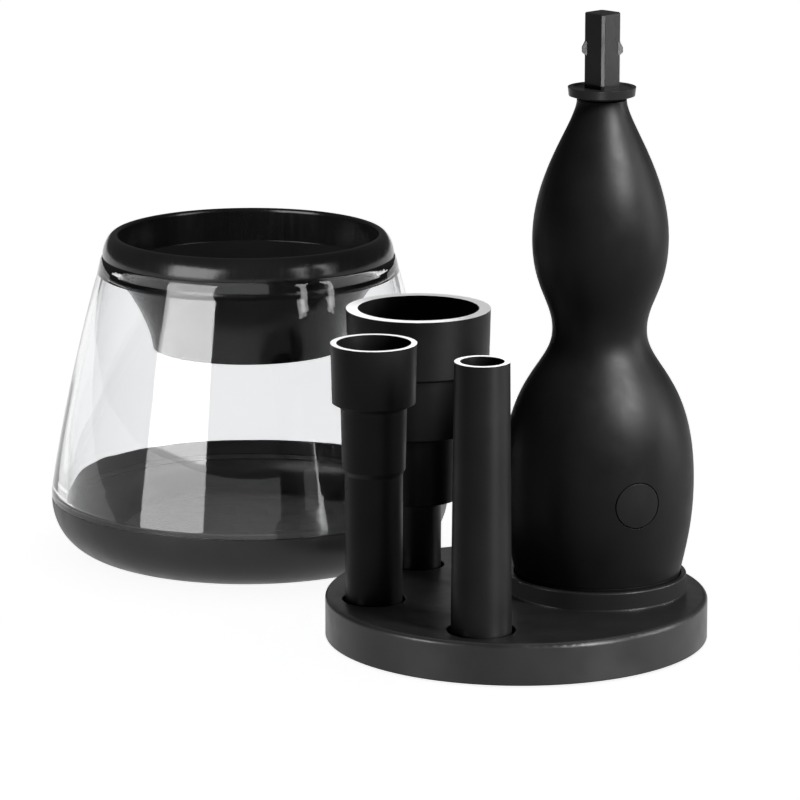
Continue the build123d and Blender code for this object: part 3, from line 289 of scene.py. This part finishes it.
def collet_plastic():
    """Black collet plastic, its upward end faces coloured bright and pale as a painted highlight on the
    rims.
    """
    graph = moulded("collet_black", (0.0045, 0.0045, 0.0047), 0.42, specular=0.09)
    facing_up = graph.span(graph.part_of(graph.normal(), "Z"), 0.0, 1.0, 0.93, 0.97)
    level = graph.part_of(graph.place, "Z")
    near_top = graph.span(level, 0.0, 1.0, RIM_LEVEL - 0.0012, RIM_LEVEL - 0.0008)  # of the lowest collet
    rim = graph.maths("MULTIPLY", facing_up, near_top)
    # painted highlight: the collets' upward end faces are coloured near white, as if lit bright
    painted_rim_highlight = graph.ramp(graph.noise(900.0, 3.0), [(0.2, (0.90, 0.90, 0.90)), (0.8, (0.97, 0.97, 0.97))])
    graph.link(graph.blend(rim, graph.source("Base Color"), painted_rim_highlight), "Base Color")
    return graph


def clear_acrylic():
    """Clear polished acrylic with a trace of tint and the long soft ripple of a thick moulding."""
    graph = Graph("bowl_clear")
    tint = graph.noise(14.0, 2.0)
    graph.link(graph.ramp(tint, [(0.2, (0.945, 0.952, 0.956)), (0.8, (0.975, 0.978, 0.982))]), "Base Color")
    graph.link(graph.span(graph.noise(60.0, 3.0), 0.004, 0.03, 0.3, 0.8), "Roughness")
    graph.relief(graph.noise(1.0, 2.0, graph.stretch(24.0, 24.0, 5.0)), 0.0006)
    graph.set(Transmission_Weight=1.0, IOR=1.46)
    return graph


def gloss_black():
    """High-gloss black plastic with a faint orange-peel ripple and hair scratches."""
    graph = Graph("ring_gloss")
    depths = [(0.3, (0.004, 0.004, 0.004)), (0.8, (0.010, 0.010, 0.011))]
    graph.link(graph.ramp(graph.noise(30.0), depths), "Base Color")
    scratches = graph.noise(1.0, 6.0, graph.stretch(900.0, 60.0, 60.0))
    graph.link(graph.span(scratches, 0.16, 0.28, 0.35, 0.85), "Roughness")
    graph.relief(graph.noise(160.0, 2.0), 0.00005, 0.0004)
    graph.set(Specular_IOR_Level=0.32)
    return graph


def rubber(name, colour=(0.022, 0.022, 0.022), roughness=0.75):
    """Matte rubber: powdery patches over a pebbled skin."""
    graph = Graph(name)
    bloom = tuple(2.2 * c for c in colour)
    graph.link(graph.ramp(graph.noise(240.0, 6.0), [(0.35, colour), (0.85, bloom)]), "Base Color")
    graph.link(graph.span(graph.noise(700.0), roughness - 0.08, roughness + 0.1), "Roughness")
    graph.relief(graph.cells(1500.0), 0.00004)
    graph.set(Specular_IOR_Level=0.3)
    return graph


def mat_rubber():
    """The bowl mat's wet-look silicone: dark in the hollows, its scales' lips paler as a patchy painted
    highlight, a satin skin.
    """
    graph = Graph("mat_black")
    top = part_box("scrub_mat")[1].z
    lip = graph.span(graph.part_of(graph.place, "Z"), 0.0, 1.0, top - 0.45 * SCALE_RISE, top)
    # painted highlight: the upper part of each scale's lip is coloured paler, patchy by noise, as if lit
    painted_lip_highlight = graph.maths("MULTIPLY", lip, graph.span(graph.noise(120.0, 5.0), 0.25, 1.0, 0.35, 0.65))
    graph.link(graph.blend(painted_lip_highlight, (0.0025, 0.0025, 0.0026), (0.16, 0.16, 0.164)), "Base Color")
    graph.link(graph.span(graph.noise(260.0, 4.0), 0.25, 0.42, 0.3, 0.7), "Roughness")
    graph.relief(graph.noise(1400.0, 3.0), 0.00008)
    graph.set(Specular_IOR_Level=0.1)
    return graph


def metal(name, colour, roughness, brush=(60.0, 60.0, 3000.0), depth=0.000006):
    """Worked metal: tool marks along one direction, brighter on their crests, duller in their hollows."""
    graph = Graph(name)
    marks = graph.noise(1.0, 4.0, graph.stretch(*brush))
    dull = tuple(0.75 * c for c in colour)
    graph.link(graph.ramp(marks, [(0.3, dull), (0.7, colour)]), "Base Color")
    stain = graph.noise(180.0, 5.0)
    graph.link(graph.span(stain, roughness - 0.06, roughness + 0.12, 0.3, 0.8), "Roughness")
    graph.relief(marks, depth)
    graph.set(Metallic=1.0)
    return graph


def cell_jacket():
    """A cell's printed jacket: a dark body, a copper band at its head and steel ends."""
    graph = Graph("cell_jacket")
    low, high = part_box("battery_cells")
    level = graph.part_of(graph.place, "Z")
    middle = (low.z + high.z) / 2
    band = graph.span(level, 0.0, 1.0, middle + 0.0085, middle + 0.0087)
    body = graph.ramp(graph.noise(500.0), [(0.3, (0.010, 0.011, 0.013)), (0.8, (0.022, 0.024, 0.028))])
    wrapped = graph.blend(band, body, (0.55, 0.27, 0.12))
    ends = graph.span(graph.maths("ABSOLUTE", graph.part_of(graph.normal(), "Z")), 0.0, 1.0, 0.85, 0.95)
    graph.link(graph.blend(ends, wrapped, (0.60, 0.60, 0.61)), "Base Color")
    graph.link(graph.span(graph.noise(420.0), 0.22, 0.36), "Roughness")
    graph.link(graph.maths("MAXIMUM", band, ends), "Metallic")
    graph.relief(graph.noise(900.0), 0.00001)
    return graph


def circuit_board():
    """Green solder mask over copper tracks that stand a hair proud."""
    graph = Graph("board_green")
    tracks = graph.span(graph.cells(420.0, graph.stretch(1.0, 1.0, 0.45)), 0.0, 1.0, 0.42, 0.5)
    graph.link(graph.blend(tracks, (0.012, 0.075, 0.028), (0.045, 0.19, 0.07)), "Base Color")
    graph.link(graph.span(graph.noise(300.0), 0.25, 0.4), "Roughness")
    graph.relief(tracks, 0.00003)
    return graph


def wire_jacket(name, colour):
    """A soft PVC jacket, scuffed and faintly ribbed by the strands beneath."""
    graph = Graph(name)
    scuffed = tuple(0.6 * c + 0.02 for c in colour)
    graph.link(graph.ramp(graph.noise(350.0, 4.0), [(0.35, colour), (0.8, scuffed)]), "Base Color")
    graph.link(graph.span(graph.noise(800.0), 0.38, 0.55), "Roughness")
    graph.relief(graph.noise(1.0, 2.0, graph.stretch(2500.0, 2500.0, 300.0)), 0.00003)
    return graph


def paper_floor():
    """The pale sweep under the object: smooth paper, its fibres only just there."""
    graph = Graph("floor_paper")
    fibres = [(0.2, (0.90, 0.90, 0.905)), (0.8, (0.95, 0.95, 0.955))]
    graph.link(graph.ramp(graph.noise(900.0, 6.0), fibres), "Base Color")
    graph.link(graph.span(graph.noise(60.0, 3.0), 0.75, 0.9), "Roughness")
    graph.relief(graph.noise(2200.0, 3.0), 0.00001)
    graph.set(Specular_IOR_Level=0.1, Emission_Color=(1, 1, 1, 1), Emission_Strength=FLOOR_GLOW)
    return graph.material


SCALE_RISE = 0.0016  # how far a scale's lip on the bowl's mat stands over the one before it
FLOOR_GLOW = 0.9  # the floor is lit from within, so that it stays pale with no lamp of its own
STAND_LEVEL = 0.0142  # just above the stand's top face
RIM_LEVEL = min(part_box(f"{size}_collet")[1].z for size in ("large", "medium", "small"))


def dress_nodes():
    """Gives every CAD node its material."""
    stand = "stand_top stand_cover"
    housing = "handle_front_shell handle_rear_shell battery_cap"
    greys = "battery_tray motor_end_cap tact_switch switch_plunger"
    rubbers = "stand_foot_ring bowl_foot_ring bowl_gasket cap_seal shaft_seal"
    screws = "stand_cover_screws housing_screws board_screws"
    contacts = "positive_contact negative_contact cap_contact cap_spring motor_terminals"
    copper_marks = (700.0, 700.0, 90.0)
    bronze_grain = (500.0, 500.0, 500.0)
    dressed = [
        (stand_plastic(), stand),
        (moulded("handle_black", (0.0018, 0.0018, 0.0019), 0.46, specular=0.075, soften=0.00015), housing),
        (moulded("button_black", (0.0026, 0.0026, 0.0026), 0.44, specular=0.09), "power_button"),
        (moulded("spindle_black", (0.0045, 0.0045, 0.0047), 0.27, specular=0.06, soften=0.0002), "spindle"),
        (moulded("bowl_black", (0.0075, 0.0075, 0.0078), 0.40, specular=0.3), "bowl_base"),
        (moulded("tray_grey", (0.06, 0.06, 0.063), 0.5), greys),
        (moulded("motor_magnet", (0.045, 0.045, 0.048), 0.6, 900.0, 0.00004), "motor_magnets"),
        (collet_plastic(), COLLET_PIECES),
        (clear_acrylic(), "bowl_wall"),
        (gloss_black(), "splash_ring"),
        (mat_rubber(), "scrub_mat"),
        (rubber("rubber_black"), rubbers),
        (metal("ballast_steel", (0.52, 0.53, 0.54), 0.42), "stand_ballast"),
        (metal("screw_steel", (0.62, 0.62, 0.63), 0.3), screws),
        (metal("contact_nickel", (0.72, 0.70, 0.66), 0.22), contacts),
        (metal("motor_steel", (0.60, 0.60, 0.62), 0.3), "motor_can motor_armature motor_shaft"),
        (metal("motor_copper", (0.78, 0.36, 0.18), 0.33, copper_marks), "motor_windings motor_commutator"),
        (metal("bush_bronze", (0.62, 0.42, 0.20), 0.45, bronze_grain), "spindle_bush"),
        (cell_jacket(), "battery_cells"),
        (circuit_board(), "switch_board"),
        (wire_jacket("wire_red", (0.45, 0.02, 0.015)), "motor_lead_red"),
        (wire_jacket("wire_black", (0.02, 0.02, 0.02)), "battery_lead_black motor_lead_black"),
    ]
    for graph, names in dressed:
        for name in names.split():
            slots = NODES[name].data.materials
            if len(slots):
                slots[0] = graph.material
            else:
                slots.append(graph.material)


# ---------------------------------------------------------------- the bowl's textured mat
SCALE_PITCH = 0.0115  # from one scale to the next in its row
MAT_RINGS = 90  # of the mesh, from the middle to the edge
MAT_SPOKES = 360
MAT_EDGE = 0.0012  # width of the plain edge


def scale_height(x, y):
    """Height, as a share of the rise, of overlapping round scales in staggered rows that rise to a lip."""
    row_pitch = 0.95 * SCALE_PITCH
    reach = 0.72 * SCALE_PITCH
    best = 0.0
    first_row = int(y // row_pitch)
    for row in range(first_row - 1, first_row + 3):
        shift = 0.5 * SCALE_PITCH if row % 2 else 0.0
        column = round((x - shift) / SCALE_PITCH)
        for step in (-1, 0, 1):
            dx = x - shift - (column + step) * SCALE_PITCH
            dy = y - row * row_pitch
            distance = hypot(dx, dy) / reach
            if distance < 1:
                dome = (1 - distance**2) ** 0.5
                lean = 0.5 - 0.5 * dy / reach
                best = max(best, dome * (0.45 + 0.55 * lean))
    return best


def add_scaled_mat():
    """A round silicone mat covered in small overlapping scales, where the plain CAD disc lies."""
    low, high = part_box("scrub_mat")
    centre = (low + high) / 2
    radius = (high.x - low.x) / 2
    base = high.z - SCALE_RISE
    points = [(centre.x, centre.y, base + SCALE_RISE * scale_height(0, 0))]
    faces = []
    for ring in range(1, MAT_RINGS + 1):
        reach = radius * ring / MAT_RINGS
        plain = min(1.0, (radius - reach) / MAT_EDGE)
        for spoke in range(MAT_SPOKES):
            turn = tau * spoke / MAT_SPOKES
            x, y = reach * cos(turn), reach * sin(turn)
            points.append((centre.x + x, centre.y + y, base + plain * SCALE_RISE * scale_height(x, y)))
    for spoke in range(MAT_SPOKES):
        turn = tau * spoke / MAT_SPOKES
        points.append((centre.x + radius * cos(turn), centre.y + radius * sin(turn), low.z))
    for spoke in range(MAT_SPOKES):
        after = (spoke + 1) % MAT_SPOKES
        faces.append((0, 1 + spoke, 1 + after))
        for ring in range(MAT_RINGS):
            inner = 1 + ring * MAT_SPOKES
            outer = inner + MAT_SPOKES
            faces.append((inner + spoke, outer + spoke, outer + after, inner + after))
    faces.append(tuple(1 + MAT_RINGS * MAT_SPOKES + spoke for spoke in reversed(range(MAT_SPOKES))))
    mesh = bpy.data.meshes.new("scaled_mat")
    mesh.from_pydata(points, [], faces)
    mesh.materials.append(bpy.data.materials["mat_black"])
    for face in mesh.polygons:
        face.use_smooth = True
    mat = bpy.data.objects.new("scaled_mat", mesh)
    bpy.context.scene.collection.objects.link(mat)
    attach(mat, "bowl")
    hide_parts("scrub_mat")


# ---------------------------------------------------------------- floor
FLOOR_REACH = 4.0
FLOOR_DROP = 0.0002  # the floor lies this little under the rubber feet


def add_floor():
    """A wide plain floor under the stand and the bowl."""
    mesh = bpy.data.meshes.new("floor")
    signs = ((-1, -1), (1, -1), (1, 1), (-1, 1))
    corners = [(FLOOR_REACH * x, FLOOR_REACH * y, -FLOOR_DROP) for x, y in signs]
    mesh.from_pydata(corners, [], [(0, 1, 2, 3)])
    mesh.materials.append(paper_floor())
    floor = bpy.data.objects.new("floor", mesh)
    bpy.context.scene.collection.objects.link(floor)


add_camera()
light_world()
dress_nodes()
add_scaled_mat()
add_lights()
add_floor()
bpy.context.scene.view_settings.view_transform = "Standard"
